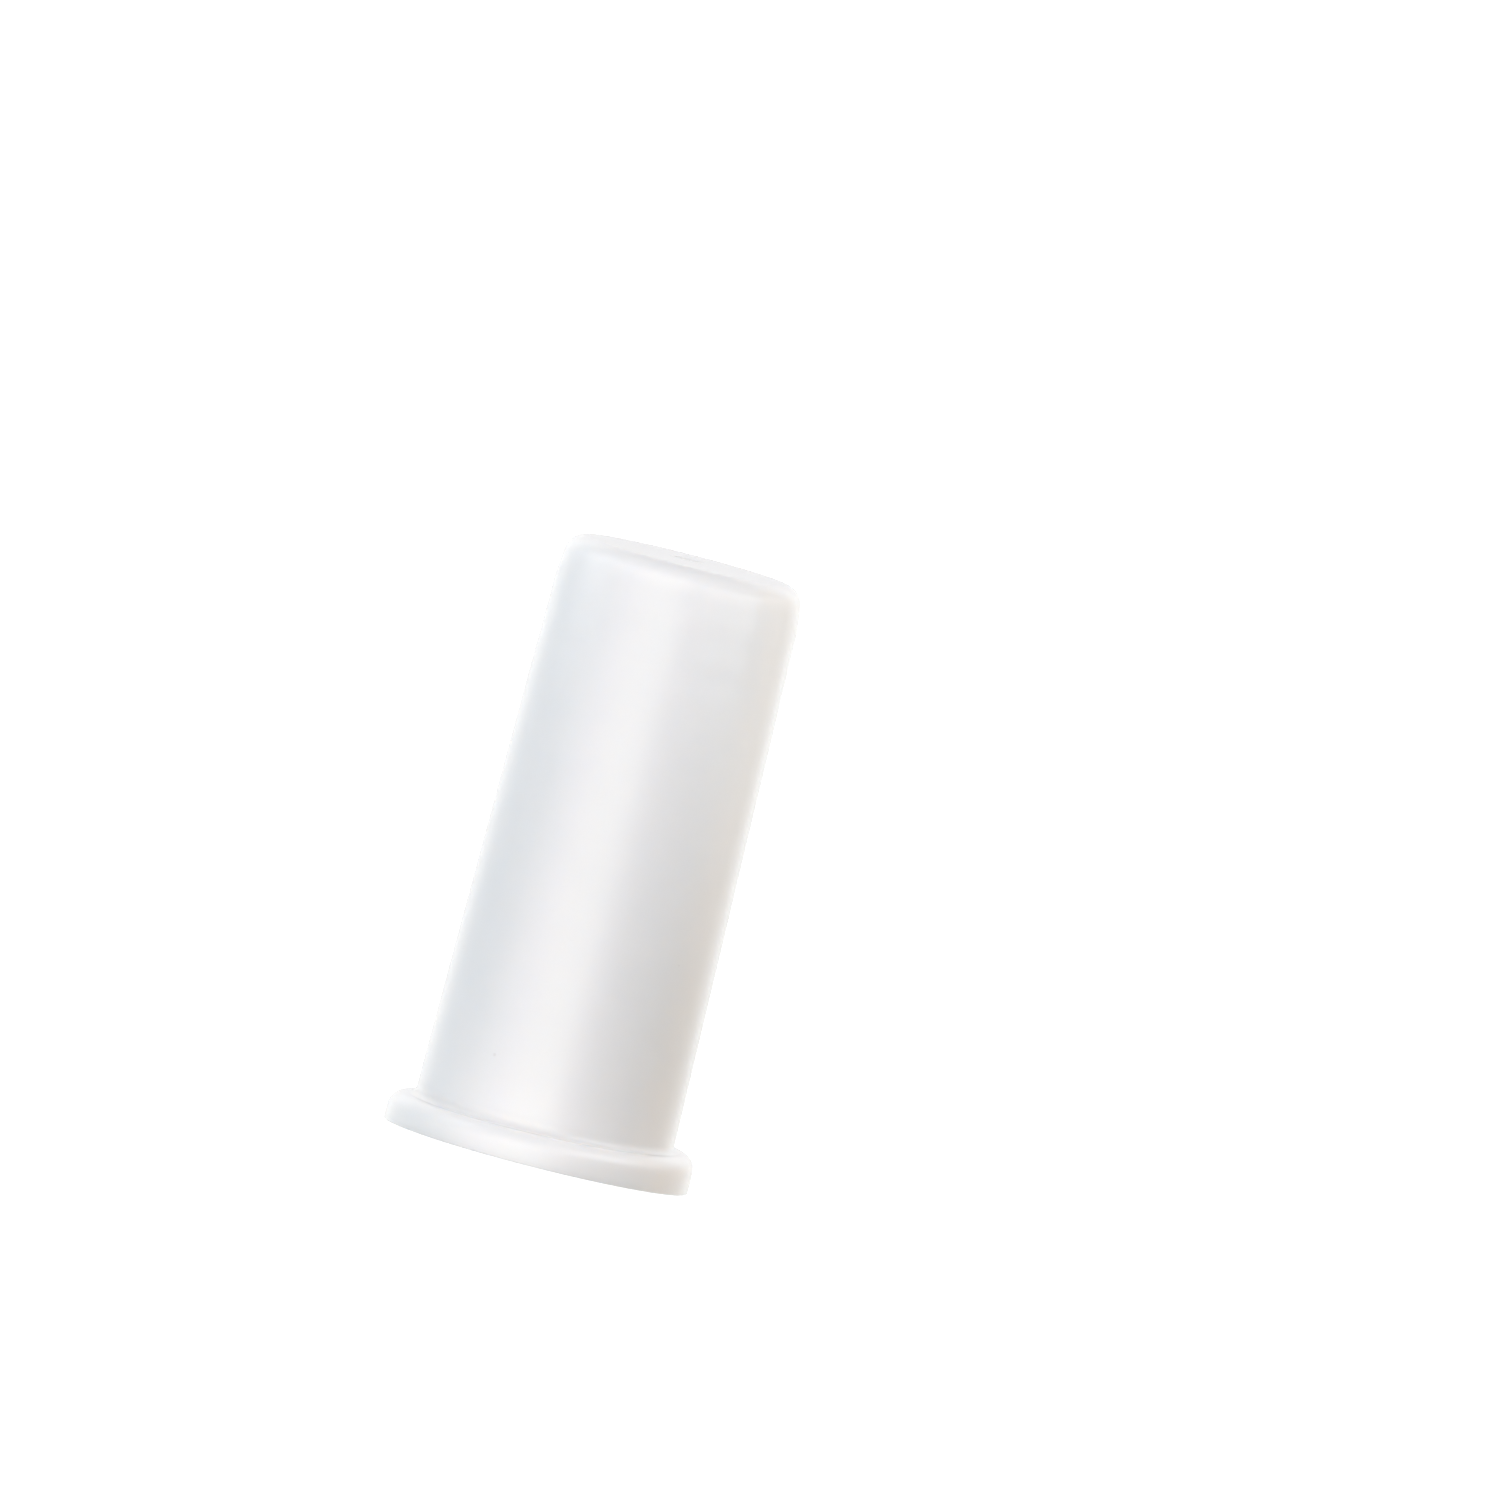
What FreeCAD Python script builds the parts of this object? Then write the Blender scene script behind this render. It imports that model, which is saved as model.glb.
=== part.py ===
import FreeCAD, Part

import math
import os

# Silicone cupping cup: a closed, gently tapered tube that opens into a thick round flange.
# The real cup is one moulding. Its wall is squeezed between thumb and finger, so the two
# stretches of wall that travel inwards are nodes of their own, cut from that same moulding.
# Millimetres. +Z runs up the cup's axis from the mouth, and the origin is the centre of the mouth.

CUP_HEIGHT = 60.0

# Tube: outer diameters where it leaves the flange and at its closed end, which give the mould draft
TUBE_DIAMETER_AT_FLANGE = 25.8
TUBE_DIAMETER_AT_END = 24.1
TUBE_WALL = 1.5
END_WALL = 2.0

# Flange: its height, and how far it stands out from the tube
FLANGE_HEIGHT = 3.4
FLANGE_WIDTH = 2.35

# Rounded edges
END_EDGE_RADIUS = 2.3
END_INNER_RADIUS = 1.2
FLANGE_TOP_RADIUS = 1.6
FLANGE_RIM_RADIUS = 0.25
FLANGE_ROOT_RADIUS = 0.3
MOUTH_LIP_RADIUS = 0.5

# Squeezed stretches of the wall: distance from the flange and from the closed end, clearance in the
# rest of the wall, how far each one goes in, and the gap that is then left between the two
GRIP_ABOVE_FLANGE = 8.5
GRIP_BELOW_END = 10.0
GRIP_CLEARANCE = 0.05
SQUEEZE_TRAVEL = 5.0
SQUEEZED_GAP = 2.0

# Sides of the cup that are squeezed, as the sign of Y
FRONT = -1
BACK = 1


def tube_radius(z):
    """Outer radius of the tube at height z, on the straight taper from flange to closed end."""
    low = TUBE_DIAMETER_AT_FLANGE / 2
    high = TUBE_DIAMETER_AT_END / 2
    share = (z - FLANGE_HEIGHT) / (CUP_HEIGHT - FLANGE_HEIGHT)
    return low + (high - low) * share


def bore_radius(z):
    """Inner radius of the cup at height z, one wall thickness inside the tube."""
    return tube_radius(z) - TUBE_WALL


def rounded_corner(before, corner, after, radius):
    """Start, middle and end of the arc that rounds a corner of an outline."""
    to_before = (before - corner).normalize()
    to_after = (after - corner).normalize()
    half_angle = to_before.getAngle(to_after) / 2
    run = radius / math.tan(half_angle)
    bisector = (to_before + to_after).normalize()
    centre = corner + bisector * (radius / math.sin(half_angle))
    return corner + to_before * run, centre - bisector * radius, corner + to_after * run


def rounded_outline(corners):
    """Closed wire through (radius, height, rounding) corners in the XZ plane."""
    places = [FreeCAD.Vector(r, 0, z) for r, z, _ in corners]
    roundings = [rounding for _, _, rounding in corners]
    arcs = []
    for i, corner in enumerate(places):
        after = places[(i + 1) % len(places)]
        arcs.append(rounded_corner(places[i - 1], corner, after, roundings[i]))
    edges = []
    for i, (start, middle, end) in enumerate(arcs):
        previous_end = arcs[i - 1][2]
        edges.append(Part.LineSegment(previous_end, start).toShape())
        if roundings[i]:
            edges.append(Part.Arc(start, middle, end).toShape())
    return Part.Wire(edges)


def whole_moulding():
    """The complete cup, turned about its axis from one outline of the wall."""
    cavity_top = CUP_HEIGHT - END_WALL
    flange_radius = tube_radius(FLANGE_HEIGHT) + FLANGE_WIDTH
    outline = rounded_outline(
        [
            (0, CUP_HEIGHT, 0),
            (tube_radius(CUP_HEIGHT), CUP_HEIGHT, END_EDGE_RADIUS),
            (tube_radius(FLANGE_HEIGHT), FLANGE_HEIGHT, FLANGE_ROOT_RADIUS),
            (flange_radius, FLANGE_HEIGHT, FLANGE_TOP_RADIUS),
            (flange_radius, 0, FLANGE_RIM_RADIUS),
            (bore_radius(0), 0, MOUTH_LIP_RADIUS),
            (bore_radius(cavity_top), cavity_top, END_INNER_RADIUS),
            (0, cavity_top, 0),
        ]
    )
    return Part.Face(outline).revolve(FreeCAD.Vector(0, 0, 0), FreeCAD.Vector(0, 0, 1), 360)


def grip_half_width(z):
    """Half the width of a squeezed stretch whose side edges, at height z, end SQUEEZED_GAP apart."""
    edge_depth = SQUEEZE_TRAVEL + SQUEEZED_GAP / 2
    return math.sqrt(bore_radius(z) ** 2 - edge_depth**2)


def grip_block(side, clearance=0.0):
    """Straight-sided block around the squeezed stretch of wall on one side, smaller by a clearance.

    Its faces that cut the wall are flat and run along Y, so the stretch slides inwards freely.
    """
    grip_top = CUP_HEIGHT - GRIP_BELOW_END
    half_width = grip_half_width(grip_top) - clearance
    bottom = FLANGE_HEIGHT + GRIP_ABOVE_FLANGE + clearance
    top = grip_top - clearance
    depth = TUBE_DIAMETER_AT_FLANGE
    corner = FreeCAD.Vector(-half_width, min(0, side * depth), bottom)
    return Part.makeBox(2 * half_width, depth, top - bottom, corner)


def cup_moulding(whole):
    """Flange, closed end and the two sides of the tube that keep their shape."""
    return whole.cut([grip_block(FRONT), grip_block(BACK)])


def squeeze_wall(whole, side):
    """One stretch of wall that a thumb or finger presses in."""
    return whole.common(grip_block(side, GRIP_CLEARANCE))


def export(node, shape):
    """Writes one node's single solid to parts/NODE.step."""
    (solid,) = shape.Solids
    solid.exportStep(os.path.join("parts", node + ".step"))
    print(f"{node}: {solid.Volume:.1f} mm3, valid {solid.isValid()}")


def main():
    os.makedirs("parts", exist_ok=True)
    whole = whole_moulding()
    export("cup_moulding", cup_moulding(whole))
    export("squeeze_wall_front", squeeze_wall(whole, FRONT))
    export("squeeze_wall_back", squeeze_wall(whole, BACK))


main()
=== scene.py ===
import math

import bpy
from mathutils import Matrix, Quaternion, Vector


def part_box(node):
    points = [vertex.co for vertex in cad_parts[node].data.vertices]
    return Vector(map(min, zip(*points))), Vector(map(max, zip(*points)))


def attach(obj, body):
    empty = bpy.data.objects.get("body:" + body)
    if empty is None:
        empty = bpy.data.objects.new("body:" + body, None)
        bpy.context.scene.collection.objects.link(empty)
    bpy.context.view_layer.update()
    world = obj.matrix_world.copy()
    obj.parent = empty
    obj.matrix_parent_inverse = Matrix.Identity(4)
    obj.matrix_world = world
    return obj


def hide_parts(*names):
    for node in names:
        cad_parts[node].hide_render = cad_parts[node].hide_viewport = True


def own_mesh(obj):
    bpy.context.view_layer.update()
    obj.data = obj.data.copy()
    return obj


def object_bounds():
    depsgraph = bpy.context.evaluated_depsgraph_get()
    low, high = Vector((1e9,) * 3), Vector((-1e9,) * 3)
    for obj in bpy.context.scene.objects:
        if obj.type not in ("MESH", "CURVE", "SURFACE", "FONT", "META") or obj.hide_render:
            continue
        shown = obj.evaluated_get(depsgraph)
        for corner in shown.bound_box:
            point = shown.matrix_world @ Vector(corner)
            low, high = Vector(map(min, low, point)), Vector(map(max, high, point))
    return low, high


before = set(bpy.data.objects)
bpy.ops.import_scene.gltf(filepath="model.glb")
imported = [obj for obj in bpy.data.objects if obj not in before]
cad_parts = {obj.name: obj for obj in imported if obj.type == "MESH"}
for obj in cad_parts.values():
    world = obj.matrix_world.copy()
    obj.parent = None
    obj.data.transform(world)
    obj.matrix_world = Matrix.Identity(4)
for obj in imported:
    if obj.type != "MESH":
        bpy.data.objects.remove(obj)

# Silicone cupping cup: one translucent moulding, modelled as one closed skin with its outer wall, its
# flange and the inside of its bore. Metres, +Z up the cup's axis, origin at the centre of the mouth.

CAD_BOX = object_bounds()
MM = 0.001

# Sizes of the moulding, taken from the frame where it holds them
CUP_LOW, CUP_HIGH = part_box("cup_moulding")
HEIGHT = CUP_HIGH.z - CUP_LOW.z
FLANGE_RADIUS = (CUP_HIGH.x - CUP_LOW.x) / 2
FLANGE_HEIGHT = 3.4 * MM
FLANGE_WIDTH = 2.35 * MM
TUBE_WALL = 1.5 * MM
END_WALL = 2.0 * MM
TUBE_RADIUS_AT_FLANGE = FLANGE_RADIUS - FLANGE_WIDTH
TUBE_RADIUS_AT_END = 12.05 * MM

END_EDGE_RADIUS = 2.0 * MM
END_TAPER_HEIGHT = 4.5 * MM
END_TAPER = 0.4 * MM
END_TAPER_RADIUS = 10.0 * MM
END_INNER_RADIUS = 1.2 * MM
FLANGE_TOP_RADIUS = 1.6 * MM
FLANGE_RIM_RADIUS = 0.12 * MM
FLANGE_ROOT_RADIUS = 0.74 * MM
MOUTH_LIP_RADIUS = 0.5 * MM

# The flange's top is uneven, and thickest at the back right. Only what is low and outside is moved.
THICKEST_SIDE = Vector((0.7, 0.71, 0))
UNEVEN_FROM = (0.3 * FLANGE_HEIGHT, 0.7 * FLANGE_HEIGHT)
UNEVEN_TO = (1.3 * FLANGE_HEIGHT, 3.0 * FLANGE_HEIGHT)

# Gate mark in the middle of the closed end: a shallow dish with the trimmed gate standing in it
GATE_DISH_RADIUS = 1.8 * MM
GATE_DISH_DEPTH = 0.035 * MM
GATE_RADIUS = 0.55 * MM
GATE_HEIGHT = 0.02 * MM
GATE_ROUNDING = 0.02 * MM

# Trimmed mould flash: how high it reaches, and how far in from the rim it fades
FLASH_HEIGHT = 0.4 * MM
FLASH_DEPTH = 0.4 * MM
FLASH_FULL_DEPTH = 0.1 * MM

# Points of one turned skin that lie closer than this are one
MERGE_DISTANCE = 0.001 * MM

# One small pock low on the front left of the tube
POCK_RADIUS = 0.25 * MM
POCK_PLACE = Vector((-6.3, -11.28, 9.4)) * MM
POCK_DARKNESS = 0.3
SPECK_DARKNESS = 0.35

# Colours of the rubber, and the cloudiness between the first two. The third is painted light: a whiter
# tone painted on the corner above the flange to brighten it.
MILK_COOL = (0.895, 0.905, 0.91, 1)
MILK_WHITE = (0.925, 0.925, 0.925, 1)
CREASE_PAINTED_LIGHT = (0.975, 0.97, 0.96, 1)
DIRT = (0.6, 0.58, 0.55, 1)
CLOUD_LIMITS = (0.35, 0.65)

# Noise scales, in features a metre: slow waver, flash, clouds and marks of handling
WAVER_SCALE = 50.0
FLASH_SCALE = 700.0
CLOUD_SCALE = 90.0
HANDLING_SCALE = 140.0

# Painted light in the corner above the flange, a whiter colour that lifts its shade: its middle above
# the flange's top, and how far it reaches
PAINTED_LIGHT_MIDDLE = 0.1 * MM
PAINTED_LIGHT_FULL = 0.2 * MM
PAINTED_LIGHT_END = 0.9 * MM

# Camera: a long lens a little above the cup, leaning, with the cup low and left in the frame
CAMERA_ELEVATION = 3.7
CAMERA_LEAN = 14.3
CAMERA_DISTANCE = 4.0
FRAME_WIDTH = 146.0 * MM
CUP_LEFT_OF_MIDDLE = 13.5 * MM
CUP_BELOW_MIDDLE = 10.5 * MM
SENSOR_WIDTH = 36.0
FAR_CLIP = 50.0
FLOOR_RADIUS = 12.0
FLOOR_SIDES = 96
FLOOR_GAP = 0.05 * MM
MIDDLE = Vector((0, 0, HEIGHT / 2))

# Light that comes from each side of the studio: degrees from the front, positive to the right, and
# its colour. A tall softbox stands at front left. The walls are cool at the left, warm at the right.
SURROUND = (
    (-180, (1.01, 1.00, 1.01)),
    (-150, (1.36, 1.33, 1.29)),
    (-110, (0.31, 0.42, 0.49)),
    (-80, (0.04, 0.15, 0.21)),
    (-60, (0.77, 0.80, 0.80)),
    (-45, (1.23, 1.11, 1.33)),
    (-30, (1.90, 1.77, 1.61)),
    (-15, (1.77, 1.76, 1.66)),
    (0, (1.93, 1.92, 1.84)),
    (15, (0.66, 0.60, 0.70)),
    (35, (0.00, 0.00, 0.00)),
    (75, (0.00, 0.00, 0.00)),
    (110, (0.84, 0.64, 0.43)),
    (150, (1.34, 1.36, 1.36)),
    (180, (1.01, 1.00, 1.01)),
)
CEILING = (0.55, 0.55, 0.58, 1)
UNDERNEATH = (0.38, 0.42, 0.42, 1)
WHITE = (1, 1, 1, 1)

# Height of a direction, from 0 level to 1 straight up, where the walls end and where the ceiling starts
WALLS_END = 0.5
CEILING_START = 0.95

CARD_WHITE = (1.0, 1.0, 1.0)
CARD_COOL = (0.9, 0.96, 1.0)

# Small cards: name, place in mm, height faced as a share of the cup's, sides in mm, watts, colour
CARDS = (
    ("left_card", (-60, -10, 72), 0.9, (40, 50), 0.0054, CARD_WHITE),
    ("right_card", (65, -5, 58), 0.75, (60, 60), 0.0055, CARD_COOL),
    ("front_card", (60, -50, 74), 0.75, (80, 60), 0.019, CARD_WHITE),
)


def tube_radius(z):
    """Outer radius of the tube at height z, on its straight taper."""
    share = (z - FLANGE_HEIGHT) / (HEIGHT - FLANGE_HEIGHT)
    return TUBE_RADIUS_AT_FLANGE + (TUBE_RADIUS_AT_END - TUBE_RADIUS_AT_FLANGE) * share


def bore_radius(z):
    """Inner radius of the cup at height z."""
    return tube_radius(z) - TUBE_WALL


# ---------------------------------------------------------------- node helpers


def add(tree, kind, **settings):
    """Adds one node and sets its properties."""
    node = tree.nodes.new(kind)
    for name, value in settings.items():
        setattr(node, name, value)
    return node


def feed(tree, node, **values):
    """Links or sets a node's inputs. A name's underscores stand for spaces."""
    for name, value in values.items():
        put(tree, node.inputs[name.replace("_", " ")], value)
    return node


def put(tree, socket, value):
    """Links a socket to another, or sets it to a plain value."""
    if isinstance(value, bpy.types.NodeSocket):
        tree.links.new(value, socket)
    else:
        socket.default_value = value


def maths(tree, operation, *values):
    """Output of a Math node."""
    node = add(tree, "ShaderNodeMath", operation=operation)
    for socket, value in zip(node.inputs, values):
        put(tree, socket, value)
    return node.outputs[0]


def vector_maths(tree, operation, *values, output="Vector"):
    """Output of a Vector Math node."""
    node = add(tree, "ShaderNodeVectorMath", operation=operation)
    for socket, value in zip(node.inputs, values):
        put(tree, socket, value)
    return node.outputs[output]


def remap(tree, value, low, high, to_low=0.0, to_high=1.0, smooth=False):
    """A value carried from one range to another, and held inside it."""
    node = add(tree, "ShaderNodeMapRange", interpolation_type="SMOOTHSTEP" if smooth else "LINEAR")
    for socket, number in zip(node.inputs, (value, low, high, to_low, to_high)):
        put(tree, socket, number)
    return node.outputs["Result"]


def blend_colours(tree, share, first, second):
    """Output of a colour Mix node."""
    node = add(tree, "ShaderNodeMix", data_type="RGBA")
    for name, value in (("Factor_Float", share), ("A_Color", first), ("B_Color", second)):
        put(tree, next(s for s in node.inputs if s.identifier == name), value)
    return next(s for s in node.outputs if s.identifier == "Result_Color")


def declare(tree, direction, name, kind, value=None):
    """Adds one named input or output to a node group."""
    socket = tree.interface.new_socket(name=name, in_out=direction, socket_type=kind)
    if value is not None:
        socket.default_value = value
    return socket


# ---------------------------------------------------------------- the skin's shape


def outline_corners():
    """(radius, height, rounding) of each corner, from the closed end's middle to the bore's."""
    cavity_top = HEIGHT - END_WALL
    dish_floor = HEIGHT - GATE_DISH_DEPTH
    taper_start = HEIGHT - END_TAPER_HEIGHT
    return [
        (0, dish_floor + GATE_HEIGHT, 0),
        (GATE_RADIUS, dish_floor + GATE_HEIGHT, GATE_ROUNDING),
        (GATE_RADIUS + GATE_ROUNDING, dish_floor, GATE_ROUNDING),
        (GATE_DISH_RADIUS - GATE_DISH_DEPTH, dish_floor, GATE_ROUNDING),
        (GATE_DISH_RADIUS, HEIGHT, GATE_ROUNDING),
        (tube_radius(HEIGHT) - END_TAPER, HEIGHT, END_EDGE_RADIUS),
        (tube_radius(taper_start), taper_start, END_TAPER_RADIUS),
        (tube_radius(FLANGE_HEIGHT), FLANGE_HEIGHT, FLANGE_ROOT_RADIUS),
        (FLANGE_RADIUS, FLANGE_HEIGHT, FLANGE_TOP_RADIUS),
        (FLANGE_RADIUS, 0, FLANGE_RIM_RADIUS),
        (bore_radius(0), 0, MOUTH_LIP_RADIUS),
        (bore_radius(cavity_top), cavity_top, END_INNER_RADIUS),
        (0, cavity_top, 0),
    ]


def outline_mesh(name):
    """Open chain of edges through the outline's corners, each with its rounding."""
    corners = outline_corners()
    mesh = bpy.data.meshes.new(name)
    points = [(r, 0, CUP_LOW.z + z) for r, z, _ in corners]
    mesh.from_pydata(points, [(i, i + 1) for i in range(len(points) - 1)], [])
    rounding = mesh.attributes.new("rounding", "FLOAT", "POINT")
    rounding.data.foreach_set("value", [r for _, _, r in corners])
    return mesh


def turned_skin_tree():
    """Geometry nodes: rounds an outline's corners, turns it about Z and adds small moulding faults."""
    tree = bpy.data.node_groups.new("turned skin", "GeometryNodeTree")
    declare(tree, "INPUT", "Outline", "NodeSocketGeometry")
    declare(tree, "INPUT", "Corner Points", "NodeSocketInt", 10)
    declare(tree, "INPUT", "Longest Step", "NodeSocketFloat", 0.5 * MM)
    declare(tree, "INPUT", "Segments", "NodeSocketInt", 216)
    declare(tree, "INPUT", "Band Depth", "NodeSocketFloat", 0.03 * MM)
    declare(tree, "INPUT", "Band Width", "NodeSocketFloat", 0.8 * MM)
    declare(tree, "INPUT", "First Band Height", "NodeSocketFloat", 53.2 * MM)
    declare(tree, "INPUT", "Band Pitch", "NodeSocketFloat", 3.4 * MM)
    declare(tree, "INPUT", "Soft Waver", "NodeSocketFloat", 0.04 * MM)
    declare(tree, "INPUT", "Flash Waver", "NodeSocketFloat", 0.05 * MM)
    declare(tree, "INPUT", "Flange Unevenness", "NodeSocketFloat", 0.42 * MM)
    declare(tree, "INPUT", "Material", "NodeSocketMaterial")
    declare(tree, "OUTPUT", "Skin", "NodeSocketGeometry")
    given = add(tree, "NodeGroupInput").outputs
    index = add(tree, "GeometryNodeInputIndex").outputs[0]
    position = add(tree, "GeometryNodeInputPosition").outputs[0]

    # Rounded outline, with its long stretches cut into steps
    chain = feed(tree, add(tree, "GeometryNodeMeshToCurve"), Mesh=given["Outline"])
    rounding = add(tree, "GeometryNodeInputNamedAttribute", data_type="FLOAT")
    rounding.inputs["Name"].default_value = "rounding"
    fillet = add(tree, "GeometryNodeFilletCurve", mode="POLY")
    feed(tree, fillet, Curve=chain.outputs[0], Radius=rounding.outputs["Attribute"])
    feed(tree, fillet, Count=given["Corner Points"])
    following = add(tree, "GeometryNodeFieldAtIndex", data_type="FLOAT_VECTOR", domain="POINT")
    feed(tree, following, Value=position, Index=maths(tree, "ADD", index, 1))
    stretch = vector_maths(tree, "DISTANCE", position, following.outputs[0], output="Value")
    cuts = maths(tree, "FLOOR", maths(tree, "DIVIDE", stretch, given["Longest Step"]))
    outline = feed(tree, add(tree, "GeometryNodeSubdivideCurve"), Curve=fillet.outputs[0], Cuts=cuts)

    # A grid with a row for each point of the outline and a column for each turn about the axis
    size = add(tree, "GeometryNodeAttributeDomainSize", component="CURVE")
    feed(tree, size, Geometry=outline.outputs[0])
    columns = maths(tree, "ADD", given["Segments"], 1)
    grid = add(tree, "GeometryNodeMeshGrid")
    feed(tree, grid, Vertices_X=size.outputs["Point Count"], Vertices_Y=columns)
    row = maths(tree, "FLOOR", maths(tree, "DIVIDE", maths(tree, "ADD", index, 0.5), columns))
    column = maths(tree, "SUBTRACT", index, maths(tree, "MULTIPLY", row, columns))
    on_outline = add(tree, "GeometryNodeSampleIndex", data_type="FLOAT_VECTOR", domain="POINT")
    feed(tree, on_outline, Geometry=outline.outputs[0], Value=position, Index=row)
    turn = maths(tree, "DIVIDE", maths(tree, "MULTIPLY", column, math.tau), given["Segments"])
    turned = add(tree, "ShaderNodeVectorRotate", rotation_type="Z_AXIS")
    feed(tree, turned, Vector=on_outline.outputs[0], Angle=turn)
    place = feed(tree, add(tree, "GeometryNodeSetPosition"), Geometry=grid.outputs["Mesh"])
    feed(tree, place, Position=turned.outputs[0])
    closed = feed(tree, add(tree, "GeometryNodeMergeByDistance"), Geometry=place.outputs[0])
    closed.inputs["Distance"].default_value = MERGE_DISTANCE

    # Small faults, all pushed in or out from the axis, and fading to nothing at it
    parts = feed(tree, add(tree, "ShaderNodeSeparateXYZ"), Vector=position).outputs
    outwards = feed(tree, add(tree, "ShaderNodeCombineXYZ"), X=parts["X"], Y=parts["Y"]).outputs[0]
    radius = vector_maths(tree, "LENGTH", outwards, output="Value")
    push = soft_waver(tree, position, given["Soft Waver"])
    for i in range(2):
        band_height = maths(tree, "MULTIPLY_ADD", given["Band Pitch"], -i, given["First Band Height"])
        band = band_groove(tree, parts["Z"], band_height, given["Band Width"])
        push = maths(tree, "SUBTRACT", push, maths(tree, "MULTIPLY", band, given["Band Depth"]))
    flash = flash_waver(tree, position, parts["Z"], radius)
    push = maths(tree, "MULTIPLY_ADD", flash, given["Flash Waver"], push)
    share = maths(tree, "DIVIDE", push, maths(tree, "MAXIMUM", radius, FLANGE_RADIUS / 2))
    moved = feed(tree, add(tree, "GeometryNodeSetPosition"), Geometry=closed.outputs[0])
    sideways = vector_maths(tree, "MULTIPLY", outwards, share)
    thicker = flange_thickening(tree, parts, radius)
    upwards = add(tree, "ShaderNodeCombineXYZ")
    feed(tree, upwards, Z=maths(tree, "MULTIPLY", thicker, given["Flange Unevenness"]))
    put(tree, moved.inputs["Offset"], vector_maths(tree, "ADD", sideways, upwards.outputs[0]))

    smooth = feed(tree, add(tree, "GeometryNodeSetShadeSmooth"), Geometry=moved.outputs[0])
    real = feed(tree, add(tree, "GeometryNodeRealizeInstances"), Geometry=smooth.outputs[0])
    painted = feed(tree, add(tree, "GeometryNodeSetMaterial"), Geometry=real.outputs[0])
    feed(tree, painted, Material=given["Material"])
    put(tree, add(tree, "NodeGroupOutput").inputs["Skin"], painted.outputs[0])
    return tree


def soft_waver(tree, position, depth):
    """Slow unevenness of a soft wall, about 20 mm from one swell to the next."""
    noise = feed(tree, add(tree, "ShaderNodeTexNoise"), Vector=position, Scale=WAVER_SCALE, Detail=1.0)
    return maths(tree, "MULTIPLY", maths(tree, "SUBTRACT", noise.outputs[0], 0.5), depth)


def band_groove(tree, height, band_height, width):
    """1 at the middle of a shallow band round the tube, fading to 0 above and below it."""
    away = maths(tree, "DIVIDE", maths(tree, "SUBTRACT", height, band_height), width)
    return maths(tree, "EXPONENT", maths(tree, "MULTIPLY", maths(tree, "MULTIPLY", away, away), -1.0))


def flash_waver(tree, position, height, radius):
    """Trimmed mould flash along the flange's lower edge, as an uneven push from -0.5 to 0.5."""
    noise = feed(tree, add(tree, "ShaderNodeTexNoise"), Vector=position, Scale=FLASH_SCALE, Detail=2.0)
    low = remap(tree, height, 0.0, FLASH_HEIGHT, 1.0, 0.0)
    outside = remap(tree, radius, FLANGE_RADIUS - FLASH_DEPTH, FLANGE_RADIUS - FLASH_FULL_DEPTH)
    uneven = maths(tree, "SUBTRACT", noise.outputs[0], 0.5)
    return maths(tree, "MULTIPLY", uneven, maths(tree, "MULTIPLY", low, outside))


def flange_thickening(tree, parts, radius):
    """Upward push on the flange's top, from 1 at its thickest side to -1 at the opposite one."""
    along = maths(tree, "MULTIPLY", parts["X"], THICKEST_SIDE.x / TUBE_RADIUS_AT_FLANGE)
    across = maths(tree, "MULTIPLY_ADD", parts["Y"], THICKEST_SIDE.y / TUBE_RADIUS_AT_FLANGE, along)
    outside = remap(tree, radius, bore_radius(0), bore_radius(0) + 0.8 * TUBE_WALL)
    on_flange = remap(tree, parts["Z"], *UNEVEN_FROM, smooth=True)
    below_grip = remap(tree, parts["Z"], *UNEVEN_TO, 1.0, 0.0, smooth=True)
    share = maths(tree, "MULTIPLY", on_flange, below_grip)
    return maths(tree, "MULTIPLY", across, maths(tree, "MULTIPLY", outside, share))


def plain_mesh(start_mesh, tree, name, **values):
    """Runs a geometry node tree on a mesh and returns its result as an object with a plain mesh."""
    carrier = bpy.data.objects.new(name + "_outline", start_mesh)
    bpy.context.scene.collection.objects.link(carrier)
    modifier = carrier.modifiers.new("shape", "NODES")
    modifier.node_group = tree
    sockets = {s.name: s.identifier for s in tree.interface.items_tree if s.in_out == "INPUT"}
    for key, value in values.items():
        modifier[sockets[key.replace("_", " ")]] = value
    evaluated = carrier.evaluated_get(bpy.context.evaluated_depsgraph_get())
    mesh = bpy.data.meshes.new_from_object(evaluated)
    mesh.name = name
    carrier.modifiers.remove(modifier)
    bpy.data.objects.remove(carrier)
    bpy.data.meshes.remove(start_mesh)
    piece = bpy.data.objects.new(name, mesh)
    bpy.context.scene.collection.objects.link(piece)
    return piece


# ---------------------------------------------------------------- finishes


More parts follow.
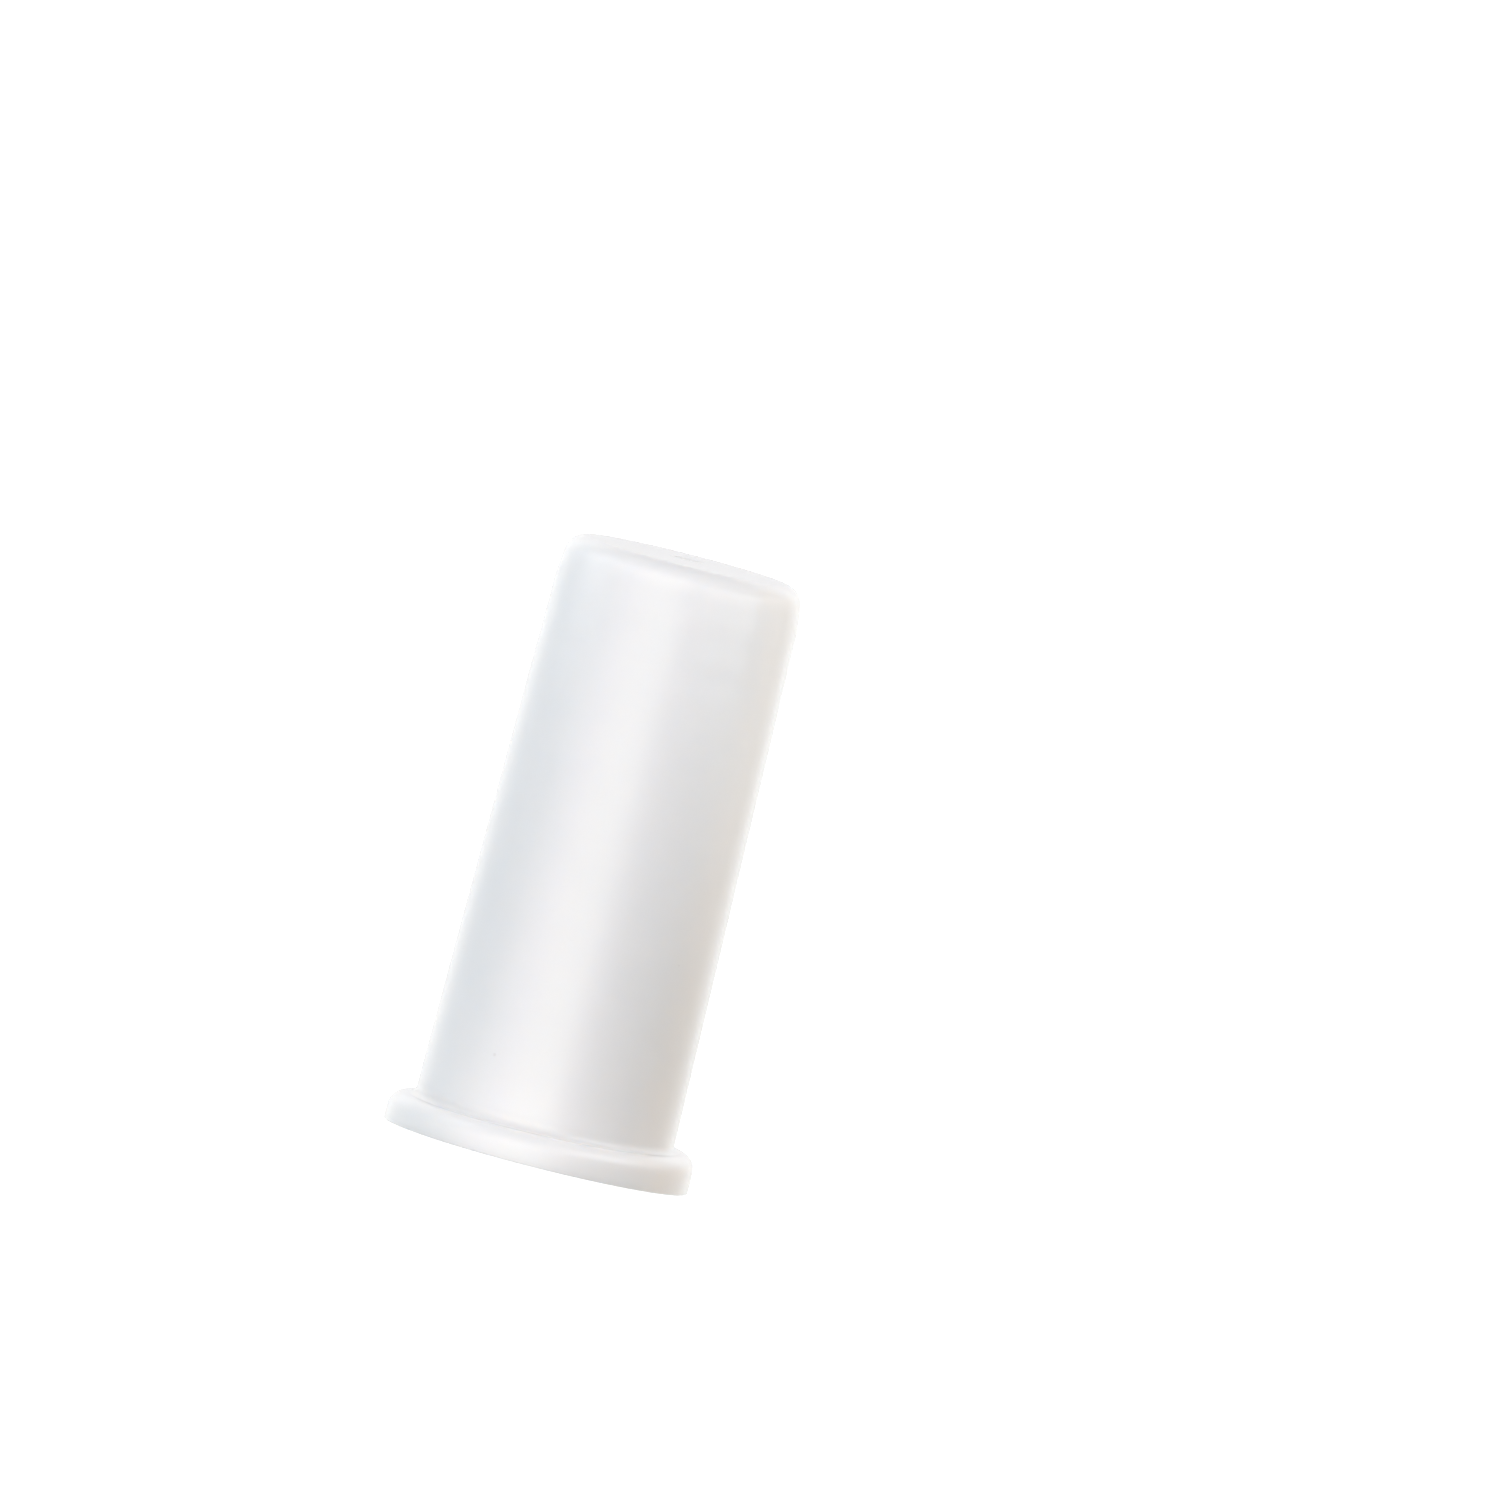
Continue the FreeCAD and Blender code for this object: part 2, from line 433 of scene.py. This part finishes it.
def frosted_grain_group():
    """Fine grain that the mould leaves on silicone: a height for bump and a change of roughness."""
    tree = bpy.data.node_groups.new("frosted grain", "ShaderNodeTree")
    declare(tree, "INPUT", "Position", "NodeSocketVector")
    declare(tree, "INPUT", "Grain Size", "NodeSocketFloat", 0.25 * MM)
    declare(tree, "INPUT", "Swell Size", "NodeSocketFloat", 7.0 * MM)
    declare(tree, "INPUT", "Swell Depth", "NodeSocketFloat", 1.0)
    declare(tree, "INPUT", "Roughness", "NodeSocketFloat", 0.4)
    declare(tree, "INPUT", "Roughness Change", "NodeSocketFloat", 0.06)
    declare(tree, "OUTPUT", "Height", "NodeSocketFloat")
    declare(tree, "OUTPUT", "Roughness", "NodeSocketFloat")
    given = add(tree, "NodeGroupInput").outputs
    fine = add(tree, "ShaderNodeTexNoise")
    feed(tree, fine, Vector=given["Position"], Scale=maths(tree, "DIVIDE", 1.0, given["Grain Size"]))
    feed(tree, fine, Detail=3.0, Roughness=0.6)
    slow = add(tree, "ShaderNodeTexNoise")
    feed(tree, slow, Vector=given["Position"], Scale=maths(tree, "DIVIDE", 1.0, given["Swell Size"]))
    feed(tree, slow, Detail=1.0)
    handled = add(tree, "ShaderNodeTexNoise")
    feed(tree, handled, Vector=given["Position"], Scale=HANDLING_SCALE, Detail=4.0, Roughness=0.65)
    out = add(tree, "NodeGroupOutput")
    height = maths(tree, "MULTIPLY_ADD", slow.outputs[0], given["Swell Depth"], fine.outputs[0])
    change = maths(tree, "SUBTRACT", handled.outputs[0], 0.5)
    rough = maths(tree, "MULTIPLY_ADD", change, given["Roughness Change"], given["Roughness"])
    feed(tree, out, Height=height, Roughness=rough)
    return tree


def speck_group():
    """Sparse specks in the rubber: 1 in a speck and 0 elsewhere."""
    tree = bpy.data.node_groups.new("specks", "ShaderNodeTree")
    declare(tree, "INPUT", "Position", "NodeSocketVector")
    declare(tree, "INPUT", "Spacing", "NodeSocketFloat", 3.0 * MM)
    declare(tree, "INPUT", "Speck Radius", "NodeSocketFloat", 0.12 * MM)
    declare(tree, "INPUT", "Share Kept", "NodeSocketFloat", 0.3)
    declare(tree, "OUTPUT", "Mask", "NodeSocketFloat")
    given = add(tree, "NodeGroupInput").outputs
    cells = add(tree, "ShaderNodeTexVoronoi")
    feed(tree, cells, Vector=given["Position"], Scale=maths(tree, "DIVIDE", 1.0, given["Spacing"]))
    chance = feed(tree, add(tree, "ShaderNodeSeparateColor"), Color=cells.outputs["Color"]).outputs[0]
    kept = maths(tree, "LESS_THAN", chance, given["Share Kept"])
    distance = maths(tree, "MULTIPLY", cells.outputs["Distance"], given["Spacing"])
    edge = maths(tree, "MULTIPLY", given["Speck Radius"], 0.4)
    inside = remap(tree, distance, edge, given["Speck Radius"], 1.0, 0.0, smooth=True)
    put(tree, add(tree, "NodeGroupOutput").inputs["Mask"], maths(tree, "MULTIPLY", inside, kept))
    return tree


def use_group(tree, group, **values):
    """Places a shader node group and feeds its inputs."""
    node = add(tree, "ShaderNodeGroup", node_tree=group)
    return feed(tree, node, **values).outputs


def painted_crease_light_mask(tree, position):
    """Mask of painted light: 1 in the corner above the flange, fading to 0 around it, where the crease
    is painted whiter.
    """
    parts = feed(tree, add(tree, "ShaderNodeSeparateXYZ"), Vector=position).outputs
    outwards = feed(tree, add(tree, "ShaderNodeCombineXYZ"), X=parts["X"], Y=parts["Y"]).outputs[0]
    radius = vector_maths(tree, "LENGTH", outwards, output="Value")
    away = maths(tree, "ABSOLUTE", maths(tree, "SUBTRACT", parts["Z"], FLANGE_HEIGHT + PAINTED_LIGHT_MIDDLE))
    near = remap(tree, away, PAINTED_LIGHT_FULL, PAINTED_LIGHT_END, 1.0, 0.0, smooth=True)
    outside = remap(tree, radius, bore_radius(0) + 0.5 * TUBE_WALL, bore_radius(0) + 0.8 * TUBE_WALL)
    return maths(tree, "MULTIPLY", near, outside)


def milky_silicone():
    """Translucent, frosted silicone rubber: cloudy white that scatters light through the wall."""
    material = bpy.data.materials.new("milky silicone")
    material.use_nodes = True
    tree = material.node_tree
    shader = tree.nodes["Principled BSDF"]
    position = add(tree, "ShaderNodeTexCoord").outputs["Object"]
    grain = use_group(tree, frosted_grain_group(), Position=position)
    specks = use_group(tree, speck_group(), Position=position)["Mask"]

    pock = vector_maths(tree, "DISTANCE", position, POCK_PLACE, output="Value")
    pock_share = remap(tree, pock, 0.5 * POCK_RADIUS, POCK_RADIUS, POCK_DARKNESS, 0.0, smooth=True)
    speck_share = maths(tree, "MAXIMUM", maths(tree, "MULTIPLY", specks, SPECK_DARKNESS), pock_share)

    cloud = feed(tree, add(tree, "ShaderNodeTexNoise"), Vector=position, Scale=CLOUD_SCALE, Detail=2.0)
    cloudy = remap(tree, cloud.outputs[0], *CLOUD_LIMITS, smooth=True)
    thin = blend_colours(tree, cloudy, MILK_COOL, MILK_WHITE)
    # Painted light: the corner above the flange is blended towards a whiter colour to brighten its shade
    milk = blend_colours(tree, painted_crease_light_mask(tree, position), thin, CREASE_PAINTED_LIGHT)
    colour = blend_colours(tree, speck_share, milk, DIRT)

    bump = add(tree, "ShaderNodeBump")
    feed(tree, bump, Height=grain["Height"], Strength=0.5, Distance=0.006 * MM)
    feed(tree, shader, Base_Color=colour, Roughness=grain["Roughness"], Normal=bump.outputs[0])

    shader.inputs["IOR"].default_value = 1.41
    shader.inputs["Subsurface Weight"].default_value = 1.0
    shader.inputs["Subsurface Radius"].default_value = (1.0, 0.92, 0.84)
    shader.inputs["Subsurface Scale"].default_value = 3.0 * MM
    shader.inputs["Coat Weight"].default_value = 1.0
    shader.inputs["Coat Roughness"].default_value = 0.25
    shader.inputs["Specular IOR Level"].default_value = 1.0
    return material


# ---------------------------------------------------------------- stage, light and camera


def floor():
    """Large pale disc under the cup. Only the camera sees it, so it takes no light from the cup."""
    mesh = bpy.data.meshes.new("studio_floor")
    rim = [Vector((FLOOR_RADIUS, 0, 0)) for _ in range(FLOOR_SIDES)]
    for i, point in enumerate(rim):
        point.rotate(Quaternion((0, 0, 1), i * math.tau / FLOOR_SIDES))
    mesh.from_pydata(rim, [], [tuple(range(FLOOR_SIDES))])
    mesh.materials.append(lit_sheet())
    piece = bpy.data.objects.new("studio_floor", mesh)
    piece.location.z = CAD_BOX[0].z - FLOOR_GAP
    piece.visible_diffuse = False
    piece.visible_glossy = False
    piece.visible_transmission = False
    piece.visible_volume_scatter = False
    piece.visible_shadow = False
    bpy.context.scene.collection.objects.link(piece)


def lit_sheet():
    """White sheet that glows a little, so that it looks white without a light of its own."""
    material = bpy.data.materials.new("lit white sheet")
    material.use_nodes = True
    shader = material.node_tree.nodes["Principled BSDF"]
    shader.inputs["Base Color"].default_value = (0.5, 0.5, 0.5, 1)
    shader.inputs["Roughness"].default_value = 1.0
    shader.inputs["Specular IOR Level"].default_value = 0.0
    shader.inputs["Emission Color"].default_value = (1, 1, 1, 1)
    shader.inputs["Emission Strength"].default_value = 0.85
    return material


def card_light(name, place, faces, sides, power, colour):
    """Small reflector card that faces a share of the cup's height, and is seen only by its light."""
    lamp = bpy.data.lights.new(name, "AREA")
    lamp.shape = "RECTANGLE"
    lamp.size = sides[0] * MM
    lamp.size_y = sides[1] * MM
    lamp.energy = power
    lamp.color = colour
    holder = bpy.data.objects.new(name, lamp)
    holder.location = Vector(place) * MM
    target = Vector((0, 0, HEIGHT * faces))
    holder.rotation_euler = (target - holder.location).to_track_quat("-Z", "Y").to_euler()
    holder.visible_camera = False
    bpy.context.scene.collection.objects.link(holder)


def wall_ramp(tree, share):
    """Colour of the studio's walls round the cup, from directly behind by the left to behind again."""
    ramp = add(tree, "ShaderNodeValToRGB")
    brightest = max(max(colour) for _, colour in SURROUND)
    stops = ramp.color_ramp.elements
    while len(stops) < len(SURROUND):
        stops.new(0.5)
    for stop, (degrees, colour) in zip(stops, SURROUND):
        stop.position = degrees / 360 + 0.5
        stop.color = [part / brightest for part in colour] + [1]
    put(tree, ramp.inputs["Fac"], share)
    walls = vector_maths(tree, "SCALE", ramp.outputs["Color"])
    walls.node.inputs["Scale"].default_value = brightest
    return walls


def studio_light():
    """Soft light from all round, by direction, and three small cards that brighten the closed end."""
    world = bpy.data.worlds.new("studio")
    bpy.context.scene.world = world
    world.use_nodes = True
    tree = world.node_tree
    direction = add(tree, "ShaderNodeTexCoord").outputs["Generated"]
    parts = feed(tree, add(tree, "ShaderNodeSeparateXYZ"), Vector=direction).outputs
    turn = maths(tree, "ARCTAN2", parts["X"], maths(tree, "MULTIPLY", parts["Y"], -1.0))
    walls = wall_ramp(tree, remap(tree, turn, -math.pi, math.pi))
    above = remap(tree, parts["Z"], WALLS_END, CEILING_START, smooth=True)
    below = remap(tree, parts["Z"], -WALLS_END, -CEILING_START, smooth=True)
    room = blend_colours(tree, below, blend_colours(tree, above, walls, CEILING), UNDERNEATH)
    camera_ray = add(tree, "ShaderNodeLightPath").outputs["Is Camera Ray"]
    feed(tree, tree.nodes["Background"], Color=blend_colours(tree, camera_ray, room, WHITE))
    for card in CARDS:
        card_light(*card)


def camera():
    """Places the camera, turned about its own axis so that the cup leans to the right."""
    lens = bpy.data.cameras.new("camera")
    lens.sensor_width = SENSOR_WIDTH
    lens.lens = SENSOR_WIDTH * CAMERA_DISTANCE / FRAME_WIDTH
    lens.clip_end = FAR_CLIP
    holder = bpy.data.objects.new("camera", lens)
    bpy.context.scene.collection.objects.link(holder)
    elevation = math.radians(CAMERA_ELEVATION)
    towards_camera = Vector((0, -math.cos(elevation), math.sin(elevation)))
    lean = Quaternion((0, 0, 1), math.radians(CAMERA_LEAN))
    turn = towards_camera.to_track_quat("Z", "Y") @ lean
    holder.rotation_mode = "QUATERNION"
    holder.rotation_quaternion = turn
    holder.location = MIDDLE + turn @ Vector((CUP_LEFT_OF_MIDDLE, CUP_BELOW_MIDDLE, CAMERA_DISTANCE))
    bpy.context.scene.camera = holder


def main():
    outline = outline_mesh("cup outline")
    skin = plain_mesh(outline, turned_skin_tree(), "silicone_cup", Material=milky_silicone())
    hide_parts("cup_moulding", "squeeze_wall_front", "squeeze_wall_back")
    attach(skin, "root")
    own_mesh(skin)
    floor()
    studio_light()
    camera()
    bpy.context.scene.view_settings.view_transform = "Standard"


main()
